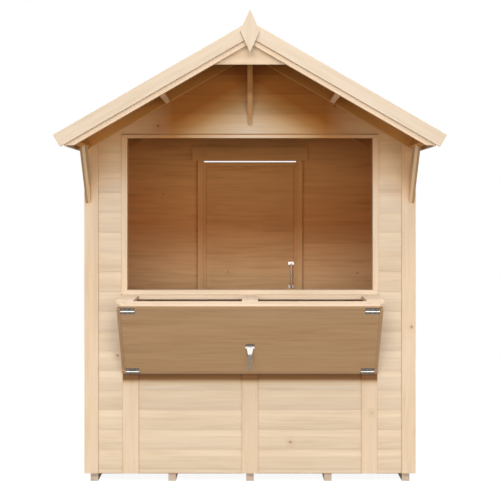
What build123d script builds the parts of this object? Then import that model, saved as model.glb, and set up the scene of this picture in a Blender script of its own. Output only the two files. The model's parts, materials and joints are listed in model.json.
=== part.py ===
"""Wooden market stall: a boarded hut with a serving opening, a fold-out counter,
a porch roof on three knee braces and a rear door. Millimetres, +Z up, front to -Y,
origin on the ground under the middle of the body."""
from build123d import *
from math import asin, atan2, cos, degrees, hypot, radians, sin, sqrt, tan
import os

# --- body ---------------------------------------------------------------
body_width = 1830.0          # over the corner trims
body_depth = 1200.0          # over the cladding, front to back
wall_bottom = 50.0           # lower edge of the cladding above the ground
cladding = 12.0              # thickness of the wall boards
trim = 12.0                  # thickness of the corner trims and battens
corner_trim_width = 77.0     # front leg of a corner trim
corner_trim_return = 45.0    # side leg of a corner trim
stud_depth = 28.0            # studs, measured square to the wall
stud_width = 44.0            # studs, measured along the wall
split = 0.5                  # gap between two like pieces that meet on the centre line

# --- base ---------------------------------------------------------------
bearer_count = 5
bearer_width = 42.0
bearer_height = 44.0
bearer_edge = 39.0           # centre of the outer bearers, in from the cladding
bearer_setback = 25.0        # bearer ends, in from the cladding faces
floor_thickness = 12.0

# --- roof ---------------------------------------------------------------
roof_pitch = 30.0            # degrees
eaves_height = 1830.7        # rafters' underside over the corner trims' outer sides
rafter_depth = 70.0          # square to the slope
rafter_width = 28.0
roof_board = 12.0
felt = 3.0
porch_depth = 493.0          # front wall to the front rafters' face
purlin_place = 508.0         # upper side of the purlin, down the slope
purlin_width = 28.0
eaves_rail_setback = 2.3     # rail's outer lower corner, in from the cladding's face
eaves_rail_width = 31.0
ridge_board_width = 28.0
ridge_board_drop = 14.0      # ridge board's lower edge below the rafters' apex
eaves_overhang = 36.0        # corner trim to the fascia's outer face
eaves_drip = 28.0            # roof boards beyond the fascia's face, measured level
fascia_thickness = 14.0
fascia_raise = 23.0          # fascia's lower edge above the rafters' underside
rafter_tail_raise = 5.0      # rafters' level tail cut above the fascia's lower edge
bargeboard_width = 71.0
bargeboard_thickness = 16.0
bargeboard_raise = 26.0      # bargeboard's lower edge above the rafters' underside
bargeboard_reach = 15.0      # bargeboards past the roof boards, down the slope
finial_width = 101.0
finial_height = 221.0
finial_thickness = 12.0
finial_rise = 58.0           # finial's top above the bargeboards' apex
apex_plate_drop = 105.0      # plate's lower edge below the rafters' apex
apex_plate_thickness = 12.0

# --- knee braces --------------------------------------------------------
brace_width = 28.0
brace_depth = 90.0
brace_pitch = 50.0           # degrees from level
corner_brace_drop = 289.7    # corner braces' feet below the eaves height
corner_brace_inset = 9.5     # brace's outer side, in from the corner trim's side
centre_brace_drop = 324.0    # centre brace's foot below the rafters' apex
gable_batten_width = 24.0
gable_batten_drop = 384.0    # batten's lower end below the rafters' apex

# --- serving opening ----------------------------------------------------
front_pier_width = 237.0     # body's side to the opening
opening_bottom = 1062.0
opening_rise = 71.3          # opening's top above the eaves height
jamb_width = 33.0
jamb_proud = 8.0             # jambs and head stand proud of the cladding
sill_height = 31.0
head_height = 18.0
batten_width = 88.0

# --- fold-out counter ---------------------------------------------------
counter_drop = 28.0          # counter's top below the opening
shelf_depth = 346.0          # from the front wall to the counter's front edge
leaf_lap = 25.0              # leaves beyond the opening at each end
leaf_frame = 21.0            # thickness of the leaf frames
leaf_board = 12.0            # thickness of the leaf boards
leaf_margin = 21.0           # frame beyond the boards at each end
leaf_stile = 92.0
leaf_centre_stile = 84.5
counter_front_rail = 28.0
front_rail_drop = 8.0        # front rail's top below the stiles' between them
counter_rear_rail = 28.0
counter_board_start = 95.0   # first board's edge from the front wall
counter_gap = 0.3            # play over the battens and over the panel
panel_height = 376.3         # counter's underside to the panel's heel, measured plumb
hinge_rail_face = 33.0       # sloping face of the rail over the panel
panel_rail = 60.0
panel_gap = 0.4              # play at the panel's upper end
foot_rail_face = 21.0        # sloping face of the rail under the panel

# --- hinges and hasp on the leaves --------------------------------------
hinge_length = 75.0
hinge_wing = 17.0
hinge_plate = 1.6
hinge_barrel = 4.0
hinge_pin = 2.6
hinge_groove = 0.7           # between two knuckles
knuckle_count = 3
hasp_width = 48.0            # plate and barrel
hasp_plate_height = 20.0
hasp_place = 201.0           # barrel's axis, up the panel's face
hasp_shoulder = 35.0         # strap's width at the barrel
hasp_neck = 17.0
hasp_taper = 47.0            # barrel's axis to the neck
hasp_end_width = 22.0
hasp_end_top = 54.0          # barrel's axis to the full width of the slotted end
hasp_length = 118.0          # barrel's axis to the tip
hasp_slot_width = 8.5
hasp_slot_length = 50.0
hasp_thickness = 2.5

# --- rear door ----------------------------------------------------------
doorway_half_width = 300.0   # between the stop strips
doorway_drop = 10.7          # doorway's top below the eaves height
door_stop = 10.0             # stop strip inside each post
door_stop_depth = 12.0
door_post_width = 30.0
door_post_depth = 40.0
door_head_reach = 36.0       # head beyond the posts
door_head_height = 88.0
door_clearance = 5.5
door_rebate = 12.0           # door boards lap the posts by this much
door_top_gap = 9.0
door_bottom_gap = 6.0
door_frame_lap = 3.0         # door frame past the stop strips' faces
door_stile = 16.0
door_rail = 28.0
door_frame_depth = 28.0
door_ledge_place = 900.0
handle_length = 170.0
handle_inset = 31.5          # handle's centre line, in from the doorway's side
handle_centre_z = 1074.0
handle_reach = 34.0
handle_bar = 10.0
handle_bend = 9.0
handle_foot_width = 34.0
handle_foot_height = 17.0
handle_foot_thickness = 3.0
door_hinge_wing = 24.0
door_hinge_plate = 2.0
door_hinge_knuckles = 3      # two on the wall's half, the middle one on the door's
door_hinge_barrel = 4.5
door_hinge_pin = 2.2
door_hinge_running = 0.3
door_hinge_ends = 220.0      # outer hinges' centres from the door's ends

# --- worked out from the sizes above ------------------------------------
slope_cos = cos(radians(roof_pitch))
slope_sin = sin(radians(roof_pitch))
slope_tan = tan(radians(roof_pitch))
gable_apex = eaves_height + body_width / 2 * slope_tan
wall_x = body_width / 2 - trim
wall_y = body_depth / 2
opening_half_width = body_width / 2 - front_pier_width
opening_top = eaves_height + opening_rise
doorway_top = eaves_height - doorway_drop
inner_x = wall_x - cladding
inner_y = wall_y - cladding
floor_top = bearer_height + floor_thickness
front_rafter_face = -wall_y - porch_depth
back_rafter_face = wall_y + trim / 2
roof_board_top = rafter_depth + roof_board
fascia_face = body_width / 2 + eaves_overhang
slope_length = (fascia_face + eaves_drip - rafter_depth * slope_sin) / slope_cos


def block(x0, x1, y0, y1, z0, z1):
    """A square-edged board between two corners."""
    size = Box(x1 - x0, y1 - y0, z1 - z0, align=(Align.MIN, Align.MIN, Align.MIN))
    return Pos(x0, y0, z0) * size


def across(points, y0, y1):
    """A board with its outline in X and Z, running from y0 to y1."""
    outline = Wire.make_polygon([Vector(x, y0, z) for x, z in points], close=True)
    return Solid.extrude(Face(outline), Vector(0, y1 - y0, 0))


def along(points, x0, x1):
    """A board with its outline in Y and Z, running from x0 to x1."""
    outline = Wire.make_polygon([Vector(x0, y, z) for y, z in points], close=True)
    return Solid.extrude(Face(outline), Vector(x1 - x0, 0, 0))


def upright(points, z0, z1):
    """A post with its outline in X and Y, running from z0 to z1."""
    outline = Wire.make_polygon([Vector(x, y, z0) for x, y in points], close=True)
    return Solid.extrude(Face(outline), Vector(0, 0, z1 - z0))


def rod(start, way, length, radius):
    """A round bar from a point along a direction."""
    bar = Cylinder(radius, length, align=(Align.CENTER, Align.CENTER, Align.MIN))
    return Plane(origin=start, z_dir=way) * bar


def on_slope(down, out):
    """X and Z of a point on the right-hand slope, from the rafters' apex."""
    x = down * slope_cos + out * slope_sin
    z = gable_apex - down * slope_sin + out * slope_cos
    return x, z


def below_ridge(x, out):
    """Height of the line that lies a given distance above the rafters' underside."""
    return gable_apex - x * slope_tan + out / slope_cos


def slope_layer(low, high, length, y0, y1):
    """A sheet on the right-hand slope, cut plumb at the ridge and square at the eaves."""
    x = split / 2
    points = [(x, below_ridge(x, low)), (x, below_ridge(x, high))]
    points += [on_slope(length, high), on_slope(length, low)]
    return across(points, y0, y1)


def slope_rail(place, width, y0, y1):
    """A rail that runs front to back in the depth of the rafters."""
    points = [on_slope(place, 0), on_slope(place, rafter_depth)]
    points += [on_slope(place + width, rafter_depth), on_slope(place + width, 0)]
    return across(points, y0, y1)


def both_sides(piece):
    """The piece and its mirror image on the other side of the centre line."""
    return [piece, mirror(piece, about=Plane.YZ)]


def roof_space():
    """Everything above the rafters' underside, for cutting walls to the slope."""
    span = body_width
    high = gable_apex + span
    points = [(-span, below_ridge(span, 0)), (0, gable_apex), (span, below_ridge(span, 0))]
    points += [(span, high), (-span, high)]
    return across(points, -body_depth, body_depth)


def under_roof(piece):
    """Cuts a piece to the rafters' underside."""
    return piece - roof_space()


# --- base ---------------------------------------------------------------
def floor_bearers():
    end = wall_y - bearer_setback
    reach = wall_x - bearer_edge
    step = 2 * reach / (bearer_count - 1)
    half = bearer_width / 2
    places = [-reach + step * i for i in range(bearer_count)]
    return [block(x - half, x + half, -end, end, 0, bearer_height) for x in places]


def floor():
    return [block(-inner_x, inner_x, -inner_y, inner_y, bearer_height, floor_top)]


# --- walls --------------------------------------------------------------
opening_side = opening_half_width + jamb_width
door_post_inside = doorway_half_width + door_stop
door_edge = door_post_inside + door_rebate
door_cladding_edge = door_edge + door_clearance


def front_wall_sides():
    x = opening_side
    return both_sides(under_roof(block(x, wall_x, -wall_y, -inner_y, wall_bottom, gable_apex)))


def front_wall_lower():
    top = opening_bottom - sill_height
    return [block(-opening_side, opening_side, -wall_y, -inner_y, wall_bottom, top)]


def front_gable():
    x = opening_side
    piece = block(-x, x, -wall_y, -inner_y, opening_top + head_height, gable_apex)
    return [under_roof(piece) - ridge_board()]


def side_walls():
    x = inner_x
    return both_sides(under_roof(block(x, wall_x, -inner_y, inner_y, wall_bottom, gable_apex)))


def back_wall_sides():
    x = door_cladding_edge
    return both_sides(under_roof(block(x, wall_x, inner_y, wall_y, wall_bottom, gable_apex)))


def back_gable():
    x = door_cladding_edge
    return [under_roof(block(-x, x, inner_y, wall_y, doorway_top, gable_apex))]


def corner_trims():
    outer = body_width / 2
    inner = outer - corner_trim_width
    back = wall_y - corner_trim_return
    face = wall_y + trim
    points = [(inner, wall_y), (inner, face), (outer, face), (outer, back)]
    points += [(wall_x, back), (wall_x, wall_y)]
    rear = under_roof(upright(points, wall_bottom, gable_apex))
    front = mirror(rear, about=Plane.XZ)
    return both_sides(front) + both_sides(rear)


# --- studs inside -------------------------------------------------------
def front_posts():
    x = opening_side
    post = block(x, x + stud_depth, -inner_y, -inner_y + stud_depth, floor_top, gable_apex)
    return both_sides(under_roof(post))


def side_wall_studs():
    x = inner_x - stud_depth
    half = stud_width / 2
    end = inner_y - stud_depth - half
    studs = []
    for y in (-end, 0, end):
        stud = block(x, inner_x, y - half, y + half, floor_top, gable_apex)
        studs += both_sides(under_roof(stud))
    return studs


def door_posts():
    x = door_post_inside
    front = inner_y - door_post_depth
    return both_sides(block(x, x + door_post_width, front, inner_y, floor_top, doorway_top))


def door_stops():
    """Thin strips on the posts that the closed door's frame stands behind."""
    x = doorway_half_width
    front = inner_y - door_post_depth
    back = front + door_stop_depth
    return both_sides(block(x, door_post_inside, front, back, floor_top, doorway_top))


def door_head():
    x = door_post_inside + door_post_width + door_head_reach
    front = inner_y - stud_depth
    return [block(-x, x, front, inner_y, doorway_top, doorway_top + door_head_height)]


# --- frame of the serving opening ---------------------------------------
opening_face = -wall_y - jamb_proud
opening_lining = -inner_y + stud_depth


def opening_jambs():
    x = opening_half_width
    jamb = block(x, opening_side, opening_face, opening_lining, opening_bottom, opening_top)
    return both_sides(jamb)


def opening_head():
    x = opening_side
    top = opening_top + head_height
    return [block(-x, x, opening_face, opening_lining, opening_top, top)]


def opening_sill():
    x = opening_side
    bottom = opening_bottom - sill_height
    return [block(-x, x, -wall_y - trim, opening_lining, bottom, opening_bottom)]


# --- roof ---------------------------------------------------------------
rail_front = front_rafter_face + rafter_width
rail_back = back_rafter_face - rafter_width
fascia_inside = fascia_face - fascia_thickness
fascia_bottom = below_ridge(fascia_face, 0) + fascia_raise


def ridge_board():
    half = ridge_board_width / 2
    bottom = gable_apex - ridge_board_drop
    side = below_ridge(half, rafter_depth)
    points = [(-half, bottom), (-half, side), (0, below_ridge(0, rafter_depth))]
    points += [(half, side), (half, bottom)]
    return across(points, rail_front + apex_plate_thickness, rail_back)


def purlins():
    return both_sides(slope_rail(purlin_place, purlin_width, rail_front, rail_back))


def eaves_rails():
    place = (wall_x - eaves_rail_setback) / slope_cos - eaves_rail_width
    return both_sides(slope_rail(place, eaves_rail_width, rail_front, rail_back))


def rafter(y0, y1):
    """One right-hand rafter, plumb against the fascia and level at its tail."""
    piece = slope_layer(0, rafter_depth, slope_length, y0, y1)
    tail = fascia_bottom + rafter_tail_raise
    return piece & block(0, fascia_inside, y0, y1, tail, gable_apex + body_width)


def rafters():
    front = rafter(front_rafter_face, front_rafter_face + rafter_width)
    back = rafter(back_rafter_face - rafter_width, back_rafter_face)
    start = -wall_y - trim / 2
    middle = rafter(start, start + rafter_width)
    middle = middle - ridge_board() - purlins()[0] - eaves_rails()[0]
    pieces = both_sides(front) + both_sides(back)
    for piece in middle.solids():
        pieces += both_sides(piece)
    return pieces


def eaves_fascias():
    points = [(fascia_inside, fascia_bottom)]
    points += [(fascia_inside, below_ridge(fascia_inside, rafter_depth))]
    points += [(fascia_face, below_ridge(fascia_face, rafter_depth))]
    points += [(fascia_face, fascia_bottom)]
    return both_sides(across(points, front_rafter_face, back_rafter_face))


def roof_boards():
    low = rafter_depth
    high = roof_board_top
    return both_sides(slope_layer(low, high, slope_length, front_rafter_face, back_rafter_face))


def roof_felt():
    """One sheet of felt folded over the ridge."""
    high = roof_board_top + felt
    lower = on_slope(slope_length, roof_board_top)
    upper = on_slope(slope_length, high)
    points = [lower, (0, below_ridge(0, roof_board_top)), (-lower[0], lower[1])]
    points += [(-upper[0], upper[1]), (0, below_ridge(0, high)), upper]
    return [across(points, front_rafter_face, back_rafter_face)]


def bargeboards():
    low = bargeboard_raise
    high = bargeboard_raise + bargeboard_width
    length = slope_length + bargeboard_reach
    front = front_rafter_face - bargeboard_thickness
    pieces = both_sides(slope_layer(low, high, length, front, front_rafter_face))
    back = back_rafter_face + bargeboard_thickness
    pieces += both_sides(slope_layer(low, high, length, back_rafter_face, back))
    return pieces


def apex_plate():
    """A triangular board behind the front rafters that ties them at the ridge."""
    bottom = gable_apex - apex_plate_drop
    top = below_ridge(0, rafter_depth)
    half = (top - bottom) / slope_tan
    plate = across(
        [(-half, bottom), (0, top), (half, bottom)], rail_front, rail_front + apex_plate_thickness
    )
    for piece in purlins():
        plate = plate - piece
    return [plate]


def finial():
    half = finial_width / 2
    top = below_ridge(0, bargeboard_raise + bargeboard_width) + finial_rise
    middle = top - finial_height / 2
    points = [(0, top), (half, middle), (0, top - finial_height), (-half, middle)]
    back = front_rafter_face - bargeboard_thickness
    return [across(points, back - finial_thickness, back)]


# --- knee braces --------------------------------------------------------
def brace(x, foot, top):
    """A sloping brace, plumb at its foot on the wall and level at its top."""
    pitch = radians(brace_pitch)
    face = -wall_y - trim
    heel = foot + brace_depth / cos(pitch)
    points = [(face, foot), (face, heel), (face - (top - heel) / tan(pitch), top)]
    points += [(face - (top - foot) / tan(pitch), top)]
    return along(points, x - brace_width / 2, x + brace_width / 2)


def corner_braces():
    x = body_width / 2 - corner_brace_inset - brace_width / 2
    top = below_ridge(x - brace_width, 0)
    return both_sides(under_roof(brace(x, eaves_height - corner_brace_drop, top)))


def centre_brace():
    foot = gable_apex - centre_brace_drop
    return [brace(0, foot, gable_apex - ridge_board_drop)]


def gable_batten():
    half = gable_batten_width / 2
    face = -wall_y - trim
    bottom = gable_apex - gable_batten_drop
    return [block(-half, half, face, -wall_y, bottom, gable_apex - ridge_board_drop)]


# --- fold-out counter ---------------------------------------------------
counter_face = -wall_y - shelf_depth
leaf_back = -wall_y - trim
counter_top = opening_bottom - counter_drop
leaf_underside = counter_top - leaf_frame - leaf_board
leaf_half_width = opening_half_width + leaf_lap
leaf_boards_side = leaf_half_width - leaf_margin
stile_edges = [
    (-leaf_half_width, -leaf_half_width + leaf_stile),
    (-leaf_centre_stile / 2, leaf_centre_stile / 2),
    (leaf_half_width - leaf_stile, leaf_half_width),
]


def front_battens():
    """Three upright battens under the counter, the outer two flush with its ends."""
    half = batten_width / 2
    outer = leaf_half_width - half
    top = leaf_underside - counter_gap
    return [block(x - half, x + half, leaf_back, -wall_y, wall_bottom, top) for x in (-outer, 0, outer)]


def counter_frame():
    """Rear rail, three stiles with their flat sides up, and a thinner front rail."""
    low = counter_top - leaf_frame
    side = leaf_half_width
    frame = block(-side, side, leaf_back - counter_rear_rail, leaf_back, low, counter_top)
    back = counter_face + counter_front_rail
    frame += block(-side, side, counter_face, back, low, counter_top - front_rail_drop)
    for x0, x1 in stile_edges:
        frame += block(x0, x1, counter_face, leaf_back, low, counter_top)
    return [frame]


def counter_boards():
    side = leaf_boards_side
    start = -wall_y - counter_board_start
    low = leaf_underside
    return [block(-side, side, counter_face, start, low, low + leaf_board)]


# The sloping panel closes a triangle with the wall and the counter.
panel_thickness = leaf_frame + leaf_board
# Its face runs up to the counter's lower front edge, and its heel is on the battens.
panel_run = leaf_back - counter_face
panel_rise = panel_height + counter_gap
panel_span = hypot(panel_run, panel_rise)
panel_tilt = degrees(atan2(panel_run, panel_rise) - asin(panel_thickness / panel_span))
panel_length = sqrt(panel_span**2 - panel_thickness**2)
panel_top = panel_length - hinge_rail_face - panel_gap
panel_up = Vector(0, -sin(radians(panel_tilt)), cos(radians(panel_tilt)))
panel_in = Vector(0, cos(radians(panel_tilt)), sin(radians(panel_tilt)))
panel_heel = Vector(0, leaf_back, leaf_underside - panel_rise)
panel_foot = panel_heel - panel_in * panel_thickness


def panel_point(up, inward):
    """A point on the sloping panel, from the lower end of its outer line."""
    return panel_foot + panel_up * up + panel_in * inward


def on_panel(up, inward):
    """Y and Z of a point on the sloping panel."""
    point = panel_point(up, inward)
    return point.Y, point.Z


def panel_block(x0, x1, up0, up1, in0, in1):
    """A board of the sloping panel."""
    corners = [(up0, in0), (up0, in1), (up1, in1), (up1, in0)]
    return along([on_panel(u, i) for u, i in corners], x0, x1)


def support_boards():
    side = leaf_boards_side
    return [panel_block(-side, side, foot_rail_face, panel_top, 0, leaf_board)]


def support_frame():
    bottom = foot_rail_face
    top = panel_top
    low = leaf_board
    high = panel_thickness
    side = leaf_half_width
    frame = panel_block(-side, side, bottom, bottom + panel_rail, low, high)
    frame += panel_block(-side, side, top - panel_rail, top, low, high)
    for x0, x1 in stile_edges:
        frame += panel_block(x0, x1, bottom, top, low, high)
    return [frame]


def hinge_rail():
    """A bevelled rail under the counter's front edge, its face in line with the panel's."""
    joint = panel_length - hinge_rail_face
    back = counter_face + panel_thickness / cos(radians(panel_tilt))
    points = [(counter_face, leaf_underside), on_panel(joint, 0)]
    points += [on_panel(joint, panel_thickness), (back, leaf_underside)]
    return [along(points, -leaf_boards_side, leaf_boards_side)]


def foot_rail():
    """A rail on the battens, bevelled to take the panel's lower end."""
    outer = on_panel(0, 0)
    inner = on_panel(foot_rail_face, panel_thickness)
    points = [(leaf_back, outer[1]), outer, on_panel(foot_rail_face, 0), inner]
    points += [(leaf_back, inner[1])]
    return [along(points, -leaf_half_width, leaf_half_width)]


def wing_plate(x0, x1, axis, way, inward, near, far):
    """A strip of a hinge wing, lying on the wood between two distances from the axis."""
    wood = axis + inward * hinge_barrel
    top = wood - inward * hinge_plate
    corners = [wood + way * near, wood + way * far, top + way * far, top + way * near]
    return along([(point.Y, point.Z) for point in corners], x0, x1)


def butt_hinge(x0, x1, axis, wings):
    """Knuckles on a pin, held by turns to the two wings."""
    pitch = (x1 - x0) / knuckle_count
    throat = hinge_barrel + hinge_groove
    east = Vector(1, 0, 0)
    hinge = rod(axis + east * x0, east, x1 - x0, hinge_pin)
    for way, inward in wings:
        far = hinge_barrel + hinge_wing
        hinge += wing_plate(x0, x1, axis, way, inward, throat, far)
    for i in range(knuckle_count):
        left = x0 + pitch * i + hinge_groove / 2
        right = left + pitch - hinge_groove
        way, inward = wings[i % len(wings)]
        hinge += rod(axis + east * left, east, right - left, hinge_barrel)
        hinge += wing_plate(left, right, axis, way, inward, 0, throat)
    return hinge


def counter_hinges():
    """One pair over the joint at the panel's top, one pair over the joint at its foot."""
    side = leaf_boards_side
    hinges = []
    for place, way in ((panel_length - hinge_rail_face, 1), (foot_rail_face, -1)):
        joint = panel_point(place, -hinge_barrel)
        wings = [(panel_up * way, panel_in), (panel_up * -way, panel_in)]
        hinges += both_sides(butt_hinge(side - hinge_length, side, joint, wings))
    return hinges


def hasp_strap(axis):
    """The hanging strap: a tapered shank and a slotted, round-tipped end."""
    back = Vector(0, 1, 0)
    y0 = axis.Y - hasp_thickness / 2
    y1 = y0 + hasp_thickness
    half = hasp_end_width / 2
    right = [(hasp_shoulder / 2, 0), (hasp_neck / 2, hasp_taper)]
    right += [(half, hasp_end_top), (half, hasp_length - half)]
    outline = right + [(-x, drop) for x, drop in reversed(right)]
    strap = across([(x, axis.Z - drop) for x, drop in outline], y0, y1)
    tip = Vector(0, y0, axis.Z - hasp_length + half)
    strap += rod(tip, back, hasp_thickness, half)
    slot = hasp_slot_width / 2
    low = tip.Z
    high = low + hasp_slot_length - hasp_slot_width
    strap -= block(-slot, slot, y0, y1, low, high)
    for z in (low, high):
        strap -= rod(Vector(0, y0, z), back, hasp_thickness, slot)
    return strap


def hasp():
    """A hasp: a plate on the panel, a barrel of three knuckles and a hanging strap."""
    axis = panel_point(hasp_place, -hinge_barrel)
    east = Vector(1, 0, 0)
    half = hasp_width / 2
    shoulder = hasp_shoulder / 2
    throat = hasp_place + hinge_barrel + hinge_groove
    top = hasp_place + hinge_barrel + hasp_plate_height
    piece = panel_block(-half, half, throat, top, -hasp_thickness, 0)
    piece += rod(axis - east * half, east, hasp_width, hinge_pin)
    for x0, x1 in ((-half, -shoulder - hinge_groove), (shoulder + hinge_groove, half)):
        piece += panel_block(x0, x1, hasp_place, throat, -hasp_thickness, 0)
        piece += rod(axis + east * x0, east, x1 - x0, hinge_barrel)
    piece += rod(axis - east * shoulder, east, hasp_shoulder, hinge_barrel)
    return [piece + hasp_strap(axis)]


# --- rear door ----------------------------------------------------------
door_bottom = floor_top + door_bottom_gap
door_top = doorway_top - door_top_gap
door_back = inner_y + door_clearance
door_face = door_back + cladding
pin_x = -(door_edge + door_clearance / 2)
pin_y = door_face + door_hinge_barrel


def door_boards():
    return [block(-door_edge, door_edge, door_back, door_face, door_bottom, door_top)]


def door_frame():
    """Stiles, rails and a middle ledge behind the boards, clear of posts and stops."""
    x = doorway_half_width + door_frame_lap
    y0 = door_back - door_frame_depth
    frame = block(-x, -x + door_stile, y0, door_back, door_bottom, door_top)
    frame += block(x - door_stile, x, y0, door_back, door_bottom, door_top)
    for z in (door_bottom, door_ledge_place, door_top - door_rail):
        frame += block(-x, x, y0, door_back, z, z + door_rail)
    return [frame]


def door_handle(y, outward):
    """A pull handle: two plates on the boards and a bent round bar between them."""
    x = doorway_half_width - handle_inset
    half = handle_foot_width / 2
    low = handle_centre_z - handle_length / 2
    high = handle_centre_z + handle_length / 2
    y0, y1 = sorted((y, y + outward * handle_foot_thickness))
    handle = block(x - half, x + half, y0, y1, low, low + handle_foot_height)
    handle += block(x - half, x + half, y0, y1, high - handle_foot_height, high)
    start = low + handle_foot_height / 2
    end = high - handle_foot_height / 2
    far = y + outward * (handle_reach - handle_bar / 2)
    corners = [(x, y, start), (x, far, start), (x, far, end), (x, y, end)]
    route = FilletPolyline(*corners, radius=handle_bend)
    section = Plane(origin=route @ 0, z_dir=route % 0) * Circle(handle_bar / 2)
    return handle + sweep(section, path=route)


def door_handles():
    return [door_handle(door_back, -1), door_handle(door_face, 1)]


def hinge_heights():
    low = door_bottom + door_hinge_ends
    high = door_top - door_hinge_ends
    return [low, (low + high) / 2, high]


def pin_rod(z0, z1, radius):
    """A round piece on the door's hinge line."""
    return rod(Vector(pin_x, pin_y, z0), Vector(0, 0, 1), z1 - z0, radius)


door_knuckle = hinge_length / door_hinge_knuckles


def door_hinge_plates():
    """Fixed halves: a wing on the cladding, two end knuckles and the pin."""
    plates = []
    for z in hinge_heights():
        low = z - hinge_length / 2
        high = z + hinge_length / 2
        edge = pin_x - door_hinge_barrel + door_hinge_plate
        wing = block(edge - door_hinge_wing, edge, wall_y, wall_y + door_hinge_plate, low, high)
        piece = pin_rod(low, high, door_hinge_pin) + wing
        for z0 in (low, high - door_knuckle):
            z1 = z0 + door_knuckle
            piece += pin_rod(z0, z1, door_hinge_barrel)
            piece += block(edge - door_hinge_plate, edge, wall_y, pin_y, z0, z1)
        plates.append(piece)
    return plates


def door_hinge_leaves():
    """Moving halves: a wing on the door's face and the middle knuckle."""
    leaves = []
    for z in hinge_heights():
        half = door_knuckle / 2 - door_hinge_running
        z0 = z - half
        z1 = z + half
        far = door_face + door_hinge_plate
        wing = block(pin_x, -door_edge + door_hinge_wing, door_face, far, z0, z1)
        leaf = wing + pin_rod(z0, z1, door_hinge_barrel)
        leaves.append(leaf - pin_rod(z0, z1, door_hinge_pin + door_hinge_running))
    return leaves


nodes = {
    "floor_bearers": floor_bearers(),
    "floor": floor(),
    "front_wall_sides": front_wall_sides(),
    "front_wall_lower": front_wall_lower(),
    "front_gable": front_gable(),
    "side_walls": side_walls(),
    "back_wall_sides": back_wall_sides(),
    "back_gable": back_gable(),
    "corner_trims": corner_trims(),
    "front_battens": front_battens(),
    "front_posts": front_posts(),
    "side_wall_studs": side_wall_studs(),
    "door_posts": door_posts(),
    "door_stops": door_stops(),
    "door_head": door_head(),
    "opening_jambs": opening_jambs(),
    "opening_head": opening_head(),
    "opening_sill": opening_sill(),
    "gable_batten": gable_batten(),
    "corner_braces": corner_braces(),
    "centre_brace": centre_brace(),
    "apex_plate": apex_plate(),
    "finial": finial(),
    "bargeboards": bargeboards(),
    "rafters": rafters(),
    "ridge_board": [ridge_board()],
    "purlins": purlins(),
    "eaves_rails": eaves_rails(),
    "eaves_fascias": eaves_fascias(),
    "roof_boards": roof_boards(),
    "roof_felt": roof_felt(),
    "counter_frame": counter_frame(),
    "counter_boards": counter_boards(),
    "hinge_rail": hinge_rail(),
    "support_frame": support_frame(),
    "support_boards": support_boards(),
    "foot_rail": foot_rail(),
    "counter_hinges": counter_hinges(),
    "hasp": hasp(),
    "door_boards": door_boards(),
    "door_frame": door_frame(),
    "door_handles": door_handles(),
    "door_hinge_plates": door_hinge_plates(),
    "door_hinge_leaves": door_hinge_leaves(),
}

os.makedirs("parts", exist_ok=True)
for name, pieces in nodes.items():
    solids = [solid for piece in pieces for solid in piece.solids()]
    shape = solids[0] if len(solids) == 1 else Compound(solids)
    export_step(shape, f"parts/{name}.step")
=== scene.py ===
import json
import math
import random
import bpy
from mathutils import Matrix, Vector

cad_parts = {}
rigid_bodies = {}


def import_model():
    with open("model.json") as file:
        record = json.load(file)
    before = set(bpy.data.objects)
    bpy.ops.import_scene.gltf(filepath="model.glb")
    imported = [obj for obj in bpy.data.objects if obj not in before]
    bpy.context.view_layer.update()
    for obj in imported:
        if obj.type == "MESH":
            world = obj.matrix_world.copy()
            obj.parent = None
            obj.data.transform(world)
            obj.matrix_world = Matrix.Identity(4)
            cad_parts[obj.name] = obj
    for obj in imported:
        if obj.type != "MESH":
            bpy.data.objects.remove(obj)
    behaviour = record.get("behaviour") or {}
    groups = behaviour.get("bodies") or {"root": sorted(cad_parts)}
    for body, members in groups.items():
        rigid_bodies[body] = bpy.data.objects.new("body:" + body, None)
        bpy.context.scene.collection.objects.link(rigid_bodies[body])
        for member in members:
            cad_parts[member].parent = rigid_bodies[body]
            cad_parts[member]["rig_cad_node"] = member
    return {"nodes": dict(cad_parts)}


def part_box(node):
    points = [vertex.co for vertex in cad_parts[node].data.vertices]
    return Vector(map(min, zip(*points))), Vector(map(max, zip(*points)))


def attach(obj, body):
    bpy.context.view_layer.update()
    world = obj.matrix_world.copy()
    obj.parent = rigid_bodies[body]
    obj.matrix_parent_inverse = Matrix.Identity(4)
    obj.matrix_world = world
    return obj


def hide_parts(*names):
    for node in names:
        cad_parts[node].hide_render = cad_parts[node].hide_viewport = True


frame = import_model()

from types import SimpleNamespace

import bmesh
import bpy
from bpy.props import (
    FloatProperty, FloatVectorProperty, IntProperty, PointerProperty
)
from mathutils import Matrix, Vector

bl_info = {
    "name": "Market stall",
    "version": (1, 0, 0),
    "blender": (4, 5, 0),
    "location": "View3D > Sidebar > Stall",
    "description": "Boards, finishes and fixings for a wooden market stall",
    "category": "Object",
}

for spare in [o for o in bpy.data.objects
              if "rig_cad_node" not in o and o.type in ("MESH", "LIGHT", "CAMERA")]:
    bpy.data.objects.remove(spare)
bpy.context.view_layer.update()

# --- directions, and places read from the frame, in metres ---------------
EAST = Vector((1, 0, 0))
NORTH = Vector((0, 1, 0))
UP = Vector((0, 0, 1))
LOW, HIGH = 0, 1
SIDES = (-1, 1)
FRONT_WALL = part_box("front_wall_sides")
SIDE_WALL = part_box("side_walls")
BACK_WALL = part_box("back_wall_sides")
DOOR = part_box("door_boards")
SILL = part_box("opening_sill")
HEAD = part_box("opening_head")
FOOT_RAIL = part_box("foot_rail")
TRIM_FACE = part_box("corner_trims")[LOW].y
WALL_BOTTOM = FRONT_WALL[LOW].z
CLADDING = FRONT_WALL[HIGH].y - FRONT_WALL[LOW].y
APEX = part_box("back_gable")[HIGH].z      # the rafters' undersides meet here

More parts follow.
